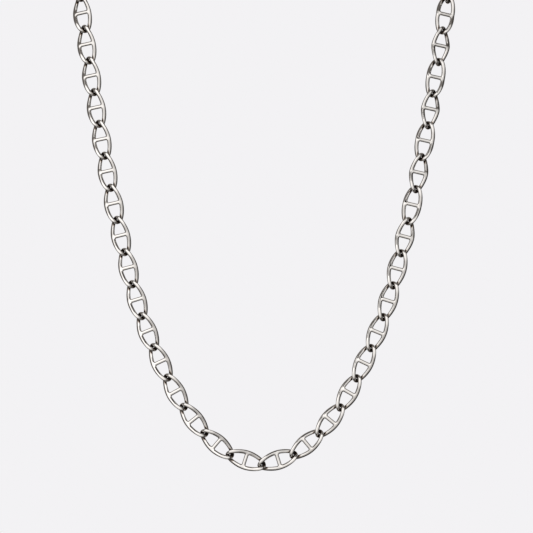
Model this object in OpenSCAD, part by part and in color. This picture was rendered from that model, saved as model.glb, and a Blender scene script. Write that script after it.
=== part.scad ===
// Mariner link chain: a closed neck chain of bowed oval links, each with a bar across its middle.
// The chain hangs round a neck: the front faces -Y, and the origin is on the inside of the clasp at the nape.

/* [Link] */
// Outer length of a link
link_l = 13.25; // [12.7:0.05:15]
// Outer width of a link
link_w = 6.2; // [5.9:0.05:7.6]
// Width of the flattened wire at a link's sides
wire_w = 1.36; // [1.1:0.02:1.46]
// Width of the wire at a link's two ends
end_w = 1.24; // [1:0.02:1.3]
// Thickness of the flattened wire
wire_t = 1.08; // [0.9:0.02:1.12]
// Width of the crossbar
bar_w = 1.3; // [1:0.05:1.5]
// How far a crossbar sits from the middle of its link toward the nape
bar_rise = 0.2; // [0:0.05:0.4]
// Turn of each end of a link about the link's long axis, in degrees
end_turn = 52; // [48:1:55]
// Play between the wires of two linked ends
joint_play = 0.29; // [0.22:0.01:0.38]

/* [Loop] */
// Width of the loop at the sides of the neck
loop_w = 121; // [105:1:140]
// Depth of the loop from its lowest joint back to the nape
loop_d = 90; // [80:1:110]
// Height of the nape above the lowest joint
loop_h = 200; // [180:1:230]

/* [Clasp] */
// Distance between the two joints at the clasp's eyes
clasp_reach = 16; // [15:0.5:20]
// Diameter of the clasp's barrel
barrel_d = 4; // [3:0.1:5]
// Inner diameter of the clasp's eyes
eye_hole_d = 1.8; // [1.7:0.1:2.2]
// Thickness of the wire of the clasp's eyes
eye_wire_d = 1.1; // [0.9:0.05:1.15]

/* [Hidden] */

// Chosen points of the right half of the loop, from the lowest joint up and round to the nape.
// The columns are the share of half the width, of the depth and of the height, and the way that
// the chain's face looks there, in degrees turned from the front.
loop_points = [
    [0.000, 0.000, 0.000, 0],
    [0.133, 0.001, 0.009, 0],
    [0.383, 0.006, 0.080, 1],
    [0.605, 0.026, 0.214, 3],
    [0.730, 0.057, 0.345, 5],
    [0.827, 0.100, 0.480, 8],
    [0.906, 0.156, 0.615, 12],
    [0.974, 0.223, 0.750, 17],
    [1.000, 0.328, 0.860, 36],
    [0.975, 0.533, 0.950, 72],
    [0.793, 0.789, 1.000, 115],
    [0.430, 0.956, 1.005, 152],
    [0.000, 1.000, 1.000, 180],
];
// Joints of the right half, counted from the lowest, where the two ends cross the other way
reversed_joints = [9, 11, 13, 15];

// Points round a link's ring
ring_points = 14;
// Sides of the wire of the links
wire_sides = 6;
// How far the ring's points are drawn toward a link's two ends, in degrees
end_draw = 16;
// Share by which a link's two ends are blunter than an oval's
blunt = 0.4;
// Length of the straight end of a crossbar inside the wire
bar_end = 0.1;
// How slowly the turn of a link's end grows from the middle of the link
turn_growth = 1.2;
// Angle to either side of a point of the ring that gives the way of the wire there
sight_angle = 1;
// Samples along each span of the loop when its length is measured
span_samples = 40;
// Spans that the search for the next joint reaches over, and the halvings that it makes
search_spans = 2;
halvings = 24;
// Smoothness of the barrel and of the wire of its eyes
barrel_sides = 48;
eye_sides = 24;

silver = [0.80, 0.80, 0.79];

// Distance between joints along a link
pitch = link_l - 2 * end_w - joint_play;
// Half length and half width of the middle line of a link's wire
ring_a = (link_l - end_w) / 2;
ring_b = (link_w - wire_w) / 2;

spans = len(loop_points) - 1;
loop_size = [loop_w / 2, loop_d, loop_h, 1];

// Row i of the loop's points at real size, with the row past either end taken from the other half
function loop_row(i) =
    let(
        j = i < 0 ? -i : i > spans ? 2 * spans - i : i,
        row = [for (c = [0:3]) loop_points[j][c] * loop_size[c]]
    )
    i < 0 ? [-row[0], row[1], row[2], -row[3]] :
    i > spans ? [-row[0], row[1], row[2], 360 - row[3]] :
    row;

// Smooth curve through the loop's points, t counting spans from the lowest joint
function loop_curve(t) =
    let(
        i = min(floor(t), spans - 1),
        f = t - i,
        a = loop_row(i - 1),
        b = loop_row(i),
        c = loop_row(i + 1),
        d = loop_row(i + 2)
    )
    (2 * b + (c - a) * f + (2 * a - 5 * b + 4 * c - d) * f * f + (3 * b - a - 3 * c + d) * f * f * f) / 2;

function xyz(row) = [row[0], row[1], row[2]];
function sum(v, i = 0) = i == len(v) ? 0 : v[i] + sum(v, i + 1);
function unit(v) = v / norm(v);

samples = [for (i = [0:spans * span_samples]) xyz(loop_curve(i / span_samples))];
half_length = sum([for (i = [1:len(samples) - 1]) norm(samples[i] - samples[i - 1])]);
// Whole links on each side, and the small change of the loop's size that makes them fill it
side_links = round((half_length - clasp_reach / 2) / pitch);
loop_fit = (side_links * pitch + clasp_reach / 2) / half_length;

function route(t) = xyz(loop_curve(t)) * loop_fit;

// Place along the curve that lies one pitch from a joint, found by halving
function next_place(joint, low, high, left) =
    let(middle = (low + high) / 2)
    left == 0 ? middle :
    norm(route(middle) - joint) < pitch ? next_place(joint, middle, high, left - 1) :
    next_place(joint, low, middle, left - 1);
function places(t, count) =
    count == 0 ? [t] :
    concat([t], places(next_place(route(t), t, min(t + search_spans, spans), halvings), count - 1));

joint_places = places(0, side_links);
right_joints = [for (t = joint_places) route(t)];
left_joints = [for (p = right_joints) [-p[0], p[1], p[2]]];
facings = [for (k = [0:side_links - 1]) loop_curve((joint_places[k] + joint_places[k + 1]) / 2)[3]];

// The origin, on the inside of the clasp's barrel
nape = [0, right_joints[side_links][1] - barrel_d / 2, right_joints[side_links][2]];

// Frame of a link: its middle, the way along it, the way across it and the way that its face looks
function link_frame(from, to, facing) =
    let(
        along = unit(to - from),
        outward = [sin(facing), -cos(facing), 0],
        face = unit(outward - (outward * along) * along)
    )
    [(from + to) / 2 - nape, along, cross(along, face), face];

// Turn of the ring at a share of its half length, -1 at its start and 1 at its far end
function turn_at(share, start_turn, far_turn) =
    (share < 0 ? start_turn : far_turn) * pow(abs(share), turn_growth);

// Point of the wire's middle line at an angle round the ring
function ring_point(frame, angle, start_turn, far_turn) =
    let(
        share = cos(angle),
        turn = turn_at(share, start_turn, far_turn),
        out = ring_b * sin(angle) * (1 + blunt * pow(share, 4))
    )
    frame[0] + ring_a * share * frame[1] + out * (cos(turn) * frame[2] + sin(turn) * frame[3]);

// Corners of the wire round one point of the ring, with flat sides facing into the link
function wire_corners(frame, angle, start_turn, far_turn) =
    let(
        middle = ring_point(frame, angle, start_turn, far_turn),
        ahead = ring_point(frame, angle + sight_angle, start_turn, far_turn),
        behind = ring_point(frame, angle - sight_angle, start_turn, far_turn),
        way = unit(ahead - behind),
        turn = turn_at(cos(angle), start_turn, far_turn),
        normal = cos(turn) * frame[3] - sin(turn) * frame[2],
        up = unit(normal - (normal * way) * way),
        side = cross(way, up),
        width = wire_w + (end_w - wire_w) * pow(cos(angle), 2)
    )
    [for (s = [0:wire_sides - 1])
        middle + wire_t / 2 * cos(s * 360 / wire_sides) * up + width / 2 * sin(s * 360 / wire_sides) * side];

// Closed ring of a link
module wire_ring(frame, start_turn, far_turn) {
    steps = [for (i = [0:ring_points - 1]) i * 360 / ring_points];
    corners = [for (step = steps)
        each wire_corners(frame, step - end_draw * sin(2 * step), start_turn, far_turn)];
    function corner(i, s) = (i % ring_points) * wire_sides + s % wire_sides;
    faces = [for (i = [0:ring_points - 1], s = [0:wire_sides - 1])
        each [
            [corner(i, s), corner(i + 1, s), corner(i, s + 1)],
            [corner(i + 1, s), corner(i + 1, s + 1), corner(i, s + 1)],
        ]];
    polyhedron(corners, faces);
}

// Bar across a link, its ends inside the wire
module crossbar(frame, rise) {
    multmatrix([for (r = [0:2]) [frame[1][r], frame[2][r], frame[3][r], frame[0][r]]])
        hull()
            for (side = [-1, 1])
                translate([rise, side * (ring_b - bar_end / 2), 0])
                    rotate([90, 0, 0])
                        scale([bar_w, wire_t, bar_end])
                            cylinder(h = 1, d = 1, center = true, $fn = wire_sides);
}

module link(from, to, facing, start_turn, far_turn, rise) {
    frame = link_frame(from, to, facing);
    union() {
        wire_ring(frame, start_turn, far_turn);
        crossbar(frame, rise);
    }
}

function crossing(k) = len(search(k, reversed_joints)) > 0 ? -1 : 1;

// Left half, built downward from the nape so that the ends keep turning the same way all round
module left_chain() {
    color(silver)
        for (k = [1:side_links])
            link(left_joints[k], left_joints[k - 1], -facings[k - 1], -end_turn, end_turn, -bar_rise);
}

// Right half, built upward from the lowest joint
module right_chain() {
    color(silver)
        for (k = [1:side_links])
            link(right_joints[k - 1], right_joints[k], facings[k - 1],
                -end_turn * crossing(k - 1), end_turn * crossing(k), bar_rise);
}

// Plain barrel with an eye at each end
module clasp() {
    eye_r = (eye_hole_d + eye_wire_d) / 2;
    reach = right_joints[side_links][0] + (eye_wire_d + joint_play) / 2;
    color(silver)
        translate([0, barrel_d / 2, 0]) {
            rotate([0, 90, 0])
                cylinder(h = 2 * (reach - 2 * eye_r), d = barrel_d, center = true, $fn = barrel_sides);
            for (side = [-1, 1])
                translate([side * (reach - eye_r), 0, 0])
                    rotate([side * end_turn, 0, 0])
                        rotate_extrude($fn = barrel_sides)
                            translate([eye_r, 0])
                                circle(d = eye_wire_d, $fn = eye_sides);
        }
}

left_chain();
right_chain();
clasp();
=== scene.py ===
import math
import bpy
from mathutils import Matrix, Vector
from mathutils.bvhtree import BVHTree


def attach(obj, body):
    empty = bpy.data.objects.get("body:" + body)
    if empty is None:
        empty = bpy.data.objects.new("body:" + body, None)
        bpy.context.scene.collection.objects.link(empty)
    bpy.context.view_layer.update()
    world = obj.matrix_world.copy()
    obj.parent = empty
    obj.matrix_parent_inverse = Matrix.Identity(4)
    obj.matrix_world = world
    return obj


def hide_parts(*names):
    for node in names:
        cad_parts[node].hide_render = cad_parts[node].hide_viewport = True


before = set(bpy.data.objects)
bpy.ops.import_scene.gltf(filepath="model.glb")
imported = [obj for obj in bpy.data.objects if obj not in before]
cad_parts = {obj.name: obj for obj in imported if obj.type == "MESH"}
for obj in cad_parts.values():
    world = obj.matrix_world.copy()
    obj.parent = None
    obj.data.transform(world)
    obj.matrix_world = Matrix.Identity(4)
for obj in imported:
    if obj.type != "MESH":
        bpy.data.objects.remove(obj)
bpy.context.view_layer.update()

# Sizes of the chain, in metres and degrees, as in the part's source
link_length = 0.01325
link_width = 0.0062
wire_width = 0.00136
end_width = 0.00124
wire_thick = 0.00108
bar_width = 0.0013
bar_rise = 0.0002
end_turn = 52
joint_play = 0.00029
clasp_reach = 0.016
barrel = 0.004
eye_hole = 0.0018
eye_wire = 0.0011

# Half the width, the depth and the height of the loop, and a 1 for the column of facings
loop_size = Vector((0.121 / 2, 0.090, 0.200, 1))
# Chosen points of the right half as in the part's source: the share of half the width, of the depth and
# of the height, and the way that the chain's face looks there, in degrees turned from the front
loop_points = [
    (0.000, 0.000, 0.000, 0), (0.133, 0.001, 0.009, 0), (0.383, 0.006, 0.080, 1),
    (0.605, 0.026, 0.214, 3), (0.730, 0.057, 0.345, 5), (0.827, 0.100, 0.480, 8),
    (0.906, 0.156, 0.615, 12), (0.974, 0.223, 0.750, 17), (1.000, 0.328, 0.860, 36),
    (0.975, 0.533, 0.950, 72), (0.793, 0.789, 1.000, 115), (0.430, 0.956, 1.005, 152),
    (0.000, 1.000, 1.000, 180),
]
# Joints of the right half, counted from the lowest, where the two ends cross the other way
reversed_joints = (9, 11, 13, 15)
# Share by which a link's ends are blunter than an oval's, and how slowly their turn grows from its middle
blunt = 0.4
turn_growth = 1.2
# Samples along each span of the loop, spans that the search for a joint reaches over, and its halvings
span_samples = 40
search_spans = 2
halvings = 24

# Faces of a link before it is smoothed: round its ring, round its wire and cuts along its bar
ring_steps = 64
wire_steps = 10
bar_cuts = 7
# Share of the wire's thickness that is left by the smoothing
smoothing_shrink = 0.951
# How far the ring's points are drawn toward a link's two sides, in radians
side_draw = 0.13
# Angle to either side of a point of the ring that gives the way of the wire there, in degrees
sight_angle = 0.5
# Mouths of the bar in the ring: ring steps across, degrees round the wire to either side, and their stretch
mouth_steps = 3
mouth_angle = 72
mouth_stretch = 1.3
# Depth inside the ring, in radii of its wire, from where on the points belong to the bar
bar_depth = 1.02
# Rows of the bar's points from its foot to its middle: the share of the way out, and the swell
bar_rows = ((1.02, 1.02), (0.95, 1.0), (0.5, 1.0), (0, 1.0))
# Share by which the inner side of a link's ends is fuller, and the power that keeps it to the ends
joint_fill = 0.13
fill_power = 6
# Distance from a link's middle plane at which its ends are pressed flat, and the depth of the soft edge
flat_height = 0.00154
flat_edge = 0.00028

# Rays that look for cover round each point near a joint, where the silver gets painted shade, how far they
# reach, how far off the metal they start, and the share of a link's half length from where on the points are
# looked at
cover_rays = 48
cover_reach = 0.0026
ray_lift = 0.00002
cover_start = 0.5
# Within this distance of a link's middle plane cover counts for more, which deepens the painted shade there
shade_depth = 0.0012
hollow_gain = 0.9

# Steps round the clasp's barrel, round its eyes and round their wire
barrel_steps = 64
eye_steps = 64
eye_wire_steps = 20
# Share of the barrel's half length beyond which a face lies in one of its ends, and the inset of the ends
end_share = 0.99
rim_inset = 0.0003
# Bevel that softens the barrel's rims: its width, its steps and the least angle that it rounds, in degrees
rim_width = 0.0002
rim_steps = 3
rim_angle = 40
# Angle between faces of the clasp up to which they are shaded as one, in degrees
smooth_angle = 35

# Hairline scratches: the turn of each of the three sets in radians, and the scales that draw them out
hair_turns = ((0.3, 0.9, 0.2), (1.2, 0.1, 0.5), (0.7, 0.4, 1.3))
hair_stretch = (1, 1, 0.04)

# Floor below the chain, and the dark card high before it, which leans by an angle in degrees
floor_radius = 0.38
floor_place = (0, -0.045, -0.262)
floor_steps = 96
card_place = (0.045, -0.42, 0.205)
card_size = (0.20, 0.22)
card_lean = 52

# Greys of the studio that the metal sees, by direction along each axis, which are multiplied together:
# 0 is before the chain, below it or on its left, and 1 is behind it, above it or on its right
studio_greys = {
    "Y": ((0.0, 1.04), (0.10, 1.02), (0.20, 0.75), (0.28, 0.14), (0.40, 0.08), (0.74, 0.06), (0.92, 0.4),
          (1.0, 0.7)),
    "Z": ((0.0, 0.25), (0.25, 0.5), (0.50, 0.92), (0.75, 1.25), (1.0, 1.4)),
    "X": ((0.0, 1.1), (0.35, 1.2), (0.55, 1.0), (0.85, 0.6), (1.0, 0.5)),
}
studio_strength = 0.96
backdrop_colour = (0.896, 0.888, 0.905, 1)
# Grey above which the studio's light is nearly neutral, as darker greys are warmer
neutral_grey = 0.6

# Camera, a metre before the lowest joint and level with the middle of the picture: its place from that
# joint, its roll in degrees, and its lens and sensor in millimetres
camera_offset = Vector((0.00125, -1.0, 0.06217))
camera_roll = -0.24
camera_lens = 215.8
camera_sensor = 36

pitch = link_length - 2 * end_width - joint_play
ring_a = (link_length - end_width) / 2
ring_b = (link_width - wire_width) / 2
wire_r = wire_thick / 2
drawn_wire_r = wire_r / smoothing_shrink
spans = len(loop_points) - 1


def loop_row(i):
    """Row of the loop's points at real size, with the row past either end taken from the other half."""
    j = abs(i) if i <= spans else 2 * spans - i
    row = Vector([share * size for share, size in zip(loop_points[j], loop_size)])
    if i < 0:
        return Vector((-row[0], row[1], row[2], -row[3]))
    if i > spans:
        return Vector((-row[0], row[1], row[2], 360 - row[3]))
    return row


def loop_curve(t):
    """Smooth curve through the loop's points, with the way that the chain faces last."""
    i = min(math.floor(t), spans - 1)
    f = t - i
    a, b, c, d = (loop_row(i + step) for step in (-1, 0, 1, 2))
    return (2 * b + (c - a) * f + (2 * a - 5 * b + 4 * c - d) * f * f + (3 * b - a - 3 * c + d) * f ** 3) / 2


def loop_joints():
    """Joints of the right half from the lowest up to the clasp, and the facing of each link between them."""
    places = [loop_curve(i / span_samples).xyz for i in range(spans * span_samples + 1)]
    half_length = sum((b - a).length for a, b in zip(places, places[1:]))
    side_links = round((half_length - clasp_reach / 2) / pitch)
    fit = (side_links * pitch + clasp_reach / 2) / half_length
    found = [0.0]
    for _ in range(side_links):
        joint = loop_curve(found[-1]).xyz * fit
        low, high = found[-1], min(found[-1] + search_spans, spans)
        for _ in range(halvings):
            middle = (low + high) / 2
            if (loop_curve(middle).xyz * fit - joint).length < pitch:
                low = middle
            else:
                high = middle
        found.append((low + high) / 2)
    joints = [loop_curve(t).xyz * fit for t in found]
    facings = [loop_curve((a + b) / 2)[3] for a, b in zip(found, found[1:])]
    nape = Vector((0, joints[-1].y - barrel / 2, joints[-1].z))
    return [joint - nape for joint in joints], facings


def link_frame(start, end, facing):
    """Place of a link: X along it, Y across it and Z the way that its face looks."""
    along = (end - start).normalized()
    outward = Vector((math.sin(math.radians(facing)), -math.cos(math.radians(facing)), 0))
    face = (outward - outward.dot(along) * along).normalized()
    across = face.cross(along)
    return Matrix.Translation((start + end) / 2) @ Matrix((along, across, face)).transposed().to_4x4()


def crossing(k):
    """Sense in which the two ends cross at a joint of the right half."""
    return -1 if k in reversed_joints else 1


def link_places(joints, facings):
    """Place of every link, with the turns of its two ends and the rise of its bar: left half, right half."""
    mirrored = [Vector((-joint.x, joint.y, joint.z)) for joint in joints]
    left = []
    right = []
    for k, facing in enumerate(facings, 1):
        left.append((link_frame(mirrored[k], mirrored[k - 1], -facing), (end_turn, -end_turn, -bar_rise)))
        turns = (end_turn * crossing(k - 1), -end_turn * crossing(k), bar_rise)
        right.append((link_frame(joints[k - 1], joints[k], facing), turns))
    return left, right


def turn_at(share, start_turn, far_turn):
    """Turn of the ring at a share of its half length, -1 at its start and 1 at its far end."""
    return math.radians(start_turn if share < 0 else far_turn) * abs(share) ** turn_growth


def ring_point(angle, start_turn, far_turn):
    """Point of the wire's middle line at an angle round the ring."""
    share = math.cos(angle)
    turn = turn_at(share, start_turn, far_turn)
    out = ring_b * math.sin(angle) * (1 + blunt * share ** 4)
    return Vector((ring_a * share, out * math.cos(turn), out * math.sin(turn)))


def copy_piece(piece, name):
    copy = bpy.data.objects.new(name, piece.data.copy())
    bpy.context.collection.objects.link(copy)
    return copy


def select_only(*pieces):
    bpy.ops.object.select_all(action="DESELECT")
    for piece in pieces:
        piece.select_set(True)
    bpy.context.view_layer.objects.active = pieces[0]


def choose_faces(piece, wanted):
    """Leaves a piece in edit mode with the faces selected whose middle passes a test."""
    bpy.ops.object.mode_set(mode="EDIT")
    bpy.ops.mesh.select_mode(type="FACE")
    bpy.ops.mesh.select_all(action="DESELECT")
    bpy.ops.object.mode_set(mode="OBJECT")
    for face in piece.data.polygons:
        face.select = wanted(face.center)
    bpy.ops.object.mode_set(mode="EDIT")


def round_link():
    """A round ring of wire with a bar across it, before it is drawn out to an oval."""
    bpy.ops.mesh.primitive_torus_add(major_segments=ring_steps, minor_segments=wire_steps,
                                     major_radius=ring_b, minor_radius=drawn_wire_r)
    link = bpy.context.object
    half_mouth = ring_b * math.sin(math.pi * mouth_steps / ring_steps)
    inner = ring_b - wire_r * math.cos(math.radians(mouth_angle))
    choose_faces(link, lambda middle: abs(middle.x) < half_mouth and middle.xy.length < inner)
    bpy.ops.mesh.delete(type="FACE")
    bpy.ops.mesh.select_mode(type="EDGE")
    bpy.ops.mesh.select_non_manifold()
    bpy.ops.mesh.bridge_edge_loops(number_cuts=bar_cuts)
    bpy.ops.object.mode_set(mode="OBJECT")
    return link


def bar_point(spot, rise):
    """Point of the finished bar for a point of the bar across the round ring."""
    wall = ring_b - wire_width / 2
    row = round((1 - abs(spot.y) / ring_b) * (bar_cuts + 1) / 2)
    share, swell = bar_rows[min(max(row, 1), len(bar_rows)) - 1]
    around = Vector((spot.x / mouth_stretch, spot.z)).normalized() * swell / smoothing_shrink
    out = math.copysign(share * wall, spot.y) if share else 0
    return Vector((rise + around.x * bar_width / 2, out, around.y * wire_r))


def wire_point(spot, lean, start_turn, far_turn):
    """Point of the finished wire for a point of the round ring's wire."""
    inward = spot.xy.length - ring_b
    if inward < 0:
        inward *= 1 + joint_fill * abs(spot.x / spot.xy.length) ** fill_power
    angle = math.atan2(spot.y, spot.x)
    angle += side_draw * math.sin(2 * angle) - lean * math.sin(angle)
    width = wire_width + (end_width - wire_width) * math.cos(angle) ** 2
    turn = turn_at(math.cos(angle), start_turn, far_turn)
    step = math.radians(sight_angle)
    ahead = ring_point(angle + step, start_turn, far_turn)
    behind = ring_point(angle - step, start_turn, far_turn)
    way = (ahead - behind).normalized()
    normal = Vector((0, -math.sin(turn), math.cos(turn)))
    up = (normal - normal.dot(way) * way).normalized()
    middle = ring_point(angle, start_turn, far_turn)
    return middle + inward * width / wire_thick * way.cross(up) + spot.z * up


def shape_link(link, start_turn, far_turn, rise):
    """Draws the round ring out to an oval with turned ends, flattens its wire and rounds the bar."""
    lean = math.asin(rise / ring_a)
    for vertex in link.data.vertices:
        if vertex.co.xy.length - ring_b < -bar_depth * drawn_wire_r:
            vertex.co = bar_point(vertex.co, rise)
        else:
            vertex.co = wire_point(vertex.co, lean, start_turn, far_turn)


def press_flat(link):
    """Presses the turned ends flat on the chain's front and back, with softly rounded edges."""
    free_height = flat_height - flat_edge
    for vertex in link.data.vertices:
        over = (abs(vertex.co.z) - free_height) / flat_edge
        if over > 0:
            vertex.co.z = math.copysign(free_height + flat_edge * math.tanh(over), vertex.co.z)


def finish_link(plain, name, start_turn, far_turn, rise):
    """Finished copy of the plain link, with its ends turned and its bar off the middle."""
    link = copy_piece(plain, name)
    shape_link(link, start_turn, far_turn, rise)
    select_only(link)
    smooth = link.modifiers.new("Smooth", "SUBSURF")
    smooth.levels = smooth.render_levels = 1
    bpy.ops.object.modifier_apply(modifier=smooth.name)
    press_flat(link)
    bpy.ops.object.shade_smooth()
    return link


def dome_directions(count):
    """Directions spread evenly over a dome, closer together near its top."""
    turn = math.pi * (3 - math.sqrt(5))
    found = []
    for i in range(count):
        reach = math.sqrt((i + 0.5) / count)
        height = math.sqrt(1 - reach * reach)
        found.append(Vector((reach * math.cos(i * turn), reach * math.sin(i * turn), height)))
    return found


def measure_cover(piece, neighbours, near):
    """Keeps, at each point near a joint, how far the wires round it close it in, and more in the hollows."""
    points = []
    faces = []
    for mesh, place in [(piece.data, Matrix.Identity(4))] + neighbours:
        first = len(points)
        points.extend(place @ vertex.co for vertex in mesh.vertices)
        faces.extend([first + corner for corner in face.vertices] for face in mesh.polygons)
    walls = BVHTree.FromPolygons(points, faces)
    directions = dome_directions(cover_rays)
    cover = piece.data.attributes.new("cover", "FLOAT", "POINT")
    for vertex in piece.data.vertices:
        if not near(vertex.co):
            continue
        normal = vertex.normal
        first_side = normal.orthogonal().normalized()
        second_side = normal.cross(first_side)
        start = vertex.co + normal * ray_lift
        closed = 0
        for ray in directions:
            way = ray.x * first_side + ray.y * second_side + ray.z * normal
            distance = walls.ray_cast(start, way, cover_reach)[3]
            if distance is not None:
                closed += 1 - (distance / cover_reach) ** 2
        hollow = max(0, 1 - abs(vertex.co.z) / shade_depth)
        cover.data[vertex.index].value = closed / cover_rays * (1 + hollow_gain * hollow)


def finish_kinds(plain, places):
    """One finished link for each way that a link's ends turn, with the cover that its neighbours give."""
    kinds = {}
    for place, turns in places:
        if turns not in kinds:
            kinds[turns] = finish_link(plain, "finished_link", *turns)
    for turns, link in kinds.items():
        before = next(kinds[other] for other in kinds if other[1] == -turns[0])
        after = next(kinds[other] for other in kinds if other[0] == -turns[1])
        neighbours = [(before.data, Matrix.Translation((-pitch, 0, 0))),
                      (after.data, Matrix.Translation((pitch, 0, 0)))]
        measure_cover(link, neighbours, lambda spot: abs(spot.x) > ring_a * cover_start)
    return kinds


def string_links(name, places, kinds):
    """Joins a copy of a finished link at each place into one length of chain."""
    links = []
    for place, turns in places:
        link = copy_piece(kinds[turns], name)
        link.data.transform(place)
        links.append(link)
    select_only(*links)
    bpy.ops.object.join()
    links[0].name = name
    return links[0]


def make_clasp(joint_x):
    """Plain barrel with softened rims, and an eye at each end that reaches to the joint there."""
    eye_r = (eye_hole + eye_wire) / 2
    reach = joint_x + (eye_wire + joint_play) / 2
    half = reach - 2 * eye_r
    bpy.ops.mesh.primitive_cylinder_add(vertices=barrel_steps, radius=barrel / 2, depth=2 * half,
                                        location=(0, barrel / 2, 0), rotation=(0, math.radians(90), 0),
                                        end_fill_type="NGON")
    body = bpy.context.object
    bpy.ops.object.transform_apply(location=True, rotation=True, scale=True)
    choose_faces(body, lambda spot: abs(spot.x) > half * end_share)
    bpy.ops.mesh.inset(thickness=rim_inset)
    bpy.ops.object.mode_set(mode="OBJECT")
    bevel = body.modifiers.new("Soft rims", "BEVEL")
    bevel.width = rim_width
    bevel.segments = rim_steps
    bevel.limit_method = "ANGLE"
    bevel.angle_limit = math.radians(rim_angle)
    select_only(body)
    bpy.ops.object.modifier_apply(modifier=bevel.name)
    parts = [body]
    for side in (-1, 1):
        bpy.ops.mesh.primitive_torus_add(major_segments=eye_steps, minor_segments=eye_wire_steps,
                                         major_radius=eye_r, minor_radius=eye_wire / 2,
                                         location=(side * (reach - eye_r), barrel / 2, 0),
                                         rotation=(math.radians(side * end_turn), 0, 0))
        parts.append(bpy.context.object)
    select_only(*parts)
    bpy.ops.object.join()
    bpy.ops.object.transform_apply(location=True, rotation=True, scale=True)
    bpy.ops.object.shade_smooth_by_angle(angle=math.radians(smooth_angle))
    body.name = "barrel_clasp"
    return body


def add_node(tree, kind, **values):
    node = tree.nodes.new(kind)
    for name, value in values.items():
        setattr(node, name, value)
    return node


def add_ramp(tree, source, stops):
    """Colour ramp between the given places, each with a grey or a colour."""
    ramp = add_node(tree, "ShaderNodeValToRGB")
    while len(ramp.color_ramp.elements) < len(stops):
        ramp.color_ramp.elements.new(0.5)
    for element, (place, colour) in zip(ramp.color_ramp.elements, stops):
        element.position = place
        element.color = (*colour, 1) if isinstance(colour, tuple) else (colour, colour, colour, 1)
    tree.links.new(source, ramp.inputs["Fac"])
    return ramp.outputs["Color"]


def add_noise(tree, source, scale, detail, turn=None):
    """Noise in object space, drawn out to hairs along one way where a turn is given."""
    if turn:
        mapping = add_node(tree, "ShaderNodeMapping")
        mapping.inputs["Rotation"].default_value = turn
        mapping.inputs["Scale"].default_value = hair_stretch
        tree.links.new(source, mapping.inputs["Vector"])
        source = mapping.outputs["Vector"]
    noise = add_node(tree, "ShaderNodeTexNoise")
    noise.inputs["Scale"].default_value = scale
    noise.inputs["Detail"].default_value = detail
    tree.links.new(source, noise.inputs["Vector"])
    return noise.outputs["Fac"]


def add_math(tree, operation, *values):
    """One arithmetic step on values, each a number or the output of another node."""
    node = add_node(tree, "ShaderNodeMath", operation=operation)
    for socket, value in zip(node.inputs, values):
        if isinstance(value, (int, float)):
            socket.default_value = value
        else:
            tree.links.new(value, socket)
    return node.outputs["Value"]


def polished_silver():
    """Hand-polished silver with hairline scratches, slight waves and painted shade, near black where the
    wires close it in.
    """
    material = bpy.data.materials.new("polished_silver")
    material.use_nodes = True
    tree = material.node_tree
    tree.nodes.clear()
    place = add_node(tree, "ShaderNodeTexCoord").outputs["Object"]

    # Painted shade: where the neighbouring wires close a point in, the colour goes through brown to near
    # black and the metal turns dull, with a noisy edge
    cover = add_node(tree, "ShaderNodeAttribute", attribute_name="cover").outputs["Fac"]
    edge = add_math(tree, "MULTIPLY_ADD", add_noise(tree, place, 900, 4), 0.16, -0.08)
    painted_shade = add_ramp(tree, add_math(tree, "ADD", cover, edge), ((0.15, 0.0), (0.26, 0.45), (0.36, 1.0)))
    shade_tint = add_ramp(tree, painted_shade, ((0.0, 1.0), (0.4, (0.40, 0.32, 0.26)), (1.0, (0.012, 0.008, 0.006))))
    metal_outside_shade = add_ramp(tree, painted_shade, ((0.3, 1.0), (0.9, 0.0)))

    hairs = [add_noise(tree, place, 2600, 3, turn) for turn in hair_turns]
    scratches = add_math(tree, "MAXIMUM", add_math(tree, "MAXIMUM", hairs[0], hairs[1]), hairs[2])
    scratches = add_ramp(tree, scratches, ((0.60, 0.0), (0.72, 1.0)))
    rough = add_math(tree, "MULTIPLY_ADD", scratches, 0.06, 0.025)
    haze = add_math(tree, "MULTIPLY_ADD", painted_shade, 0.25, rough)
    relief = add_math(tree, "MULTIPLY_ADD", scratches, -0.02, add_noise(tree, place, 330, 1))

    bloom = add_noise(tree, place, 260, 3)
    clean = add_ramp(tree, bloom, ((0.35, (0.91, 0.90, 0.89)), (0.65, (0.88, 0.865, 0.85))))
    shaded_base = add_node(tree, "ShaderNodeMix", data_type="RGBA", blend_type="MULTIPLY")
    shaded_base.inputs["Factor"].default_value = 1.0
    tree.links.new(clean, shaded_base.inputs["A"])
    tree.links.new(shade_tint, shaded_base.inputs["B"])
    bump = add_node(tree, "ShaderNodeBump")
    bump.inputs["Distance"].default_value = 0.00010
    tree.links.new(relief, bump.inputs["Height"])

    shader = add_node(tree, "ShaderNodeBsdfPrincipled")
    shader.inputs["Specular IOR Level"].default_value = 0.12
    tree.links.new(metal_outside_shade, shader.inputs["Metallic"])
    tree.links.new(shaded_base.outputs["Result"], shader.inputs["Base Color"])
    tree.links.new(haze, shader.inputs["Roughness"])
    tree.links.new(bump.outputs["Normal"], shader.inputs["Normal"])
    output = add_node(tree, "ShaderNodeOutputMaterial")
    tree.links.new(shader.outputs["BSDF"], output.inputs["Surface"])
    return material


def plain_material(name, values):
    """Material with one value on each of the named sockets of its shader."""
    material = bpy.data.materials.new(name)
    material.use_nodes = True
    shader = material.node_tree.nodes["Principled BSDF"]
    for socket, value in values.items():
        shader.inputs[socket].default_value = value
    return material


def warm_grey(grey):
    """Colour of a grey, the darker the warmer."""
    light = min(grey / neutral_grey, 1)
    return grey, grey * (0.92 + 0.07 * light), grey * (0.85 + 0.13 * light)


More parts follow.
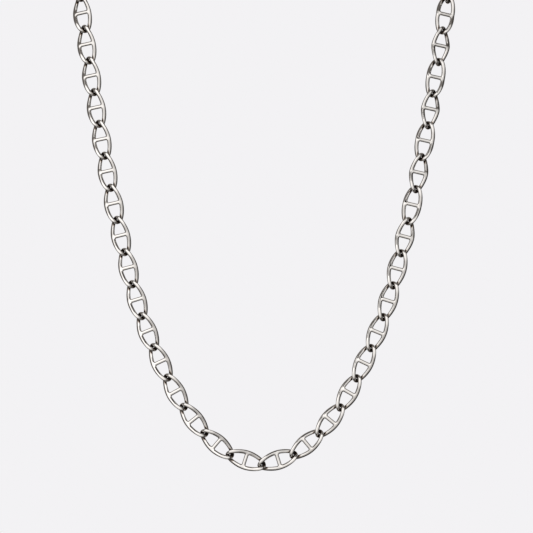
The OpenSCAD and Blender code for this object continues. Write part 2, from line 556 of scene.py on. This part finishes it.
def studio_world():
    """Even pale backdrop for the camera, and for the metal a studio with its own grey in each direction."""
    world = bpy.data.worlds.new("studio")
    bpy.context.scene.world = world
    world.use_nodes = True
    tree = world.node_tree
    tree.nodes.clear()
    coordinates = add_node(tree, "ShaderNodeTexCoord")
    parts = add_node(tree, "ShaderNodeSeparateXYZ")
    tree.links.new(coordinates.outputs["Generated"], parts.inputs["Vector"])
    shaded = None
    for axis, greys in studio_greys.items():
        way = add_node(tree, "ShaderNodeMapRange")
        way.inputs["From Min"].default_value = -1
        tree.links.new(parts.outputs[axis], way.inputs["Value"])
        stops = [(place, warm_grey(grey)) for place, grey in greys]
        colour = add_ramp(tree, way.outputs["Result"], stops)
        if shaded is not None:
            product = add_node(tree, "ShaderNodeVectorMath", operation="MULTIPLY")
            tree.links.new(shaded, product.inputs[0])
            tree.links.new(colour, product.inputs[1])
            colour = product.outputs["Vector"]
        shaded = colour
    studio = add_node(tree, "ShaderNodeBackground")
    tree.links.new(shaded, studio.inputs["Color"])
    studio.inputs["Strength"].default_value = studio_strength
    backdrop = add_node(tree, "ShaderNodeBackground")
    backdrop.inputs["Color"].default_value = backdrop_colour
    path = add_node(tree, "ShaderNodeLightPath")
    mix = add_node(tree, "ShaderNodeMixShader")
    tree.links.new(path.outputs["Is Camera Ray"], mix.inputs["Fac"])
    tree.links.new(studio.outputs["Background"], mix.inputs[1])
    tree.links.new(backdrop.outputs["Background"], mix.inputs[2])
    output = add_node(tree, "ShaderNodeOutputWorld")
    tree.links.new(mix.outputs["Shader"], output.inputs["Surface"])


# The two halves of the chain
bpy.ops.object.select_all(action="DESELECT")
joints, facings = loop_joints()
left_places, right_places = link_places(joints, facings)
plain = round_link()
kinds = finish_kinds(plain, left_places + right_places)
left_links = string_links("left_links", left_places, kinds)
right_links = string_links("right_links", right_places, kinds)
select_only(plain, *kinds.values())
bpy.ops.object.delete()

# The clasp, with painted shade where the last links pass through its eyes
clasp = make_clasp(joints[-1].x)
measure_cover(clasp, [(left_links.data, Matrix.Identity(4)), (right_links.data, Matrix.Identity(4))],
              lambda spot: abs(spot.x) > joints[-1].x - eye_hole)

silver = polished_silver()
for piece, node in ((left_links, "left_chain"), (right_links, "right_chain"), (clasp, "clasp")):
    piece.data.materials.clear()
    piece.data.materials.append(silver)
    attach(piece, "root")
    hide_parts(node)

# Pale floor below the chain
bpy.ops.object.select_all(action="DESELECT")
bpy.ops.mesh.primitive_circle_add(vertices=floor_steps, radius=floor_radius, fill_type="NGON",
                                  location=floor_place)
floor = bpy.context.object
floor.name = "floor"
floor.data.transform(floor.matrix_world)
floor.matrix_world = Matrix.Identity(4)
pale = {"Base Color": (0.86, 0.86, 0.87, 1), "Roughness": 0.7,
        "Emission Color": (1.0, 0.99, 1.0, 1), "Emission Strength": 0.55}
floor.data.materials.append(plain_material("pale_floor", pale))
floor.visible_glossy = False

studio_world()
bpy.context.scene.view_settings.view_transform = "Standard"

# Dark card high before the chain, which the metal sees and the camera doesn't
bpy.ops.mesh.primitive_plane_add(size=1, location=card_place, rotation=(math.radians(card_lean), 0, 0))
card = bpy.context.object
card.name = "upper_card"
card.scale = (*card_size, 1)
bpy.ops.object.transform_apply(location=True, rotation=True, scale=True)
dark = {"Base Color": (0.02, 0.02, 0.02, 1), "Roughness": 0.9, "Specular IOR Level": 0.0}
card.data.materials.append(plain_material("dark_card", dark))
card.visible_camera = False
card.visible_shadow = False
card.visible_diffuse = False

camera_data = bpy.data.cameras.new("camera")
camera_data.sensor_width = camera_sensor
camera_data.lens = camera_lens
camera = bpy.data.objects.new("camera", camera_data)
bpy.context.collection.objects.link(camera)
camera.location = joints[0] + camera_offset
camera.rotation_euler = (math.radians(90), math.radians(camera_roll), 0)
bpy.context.scene.camera = camera
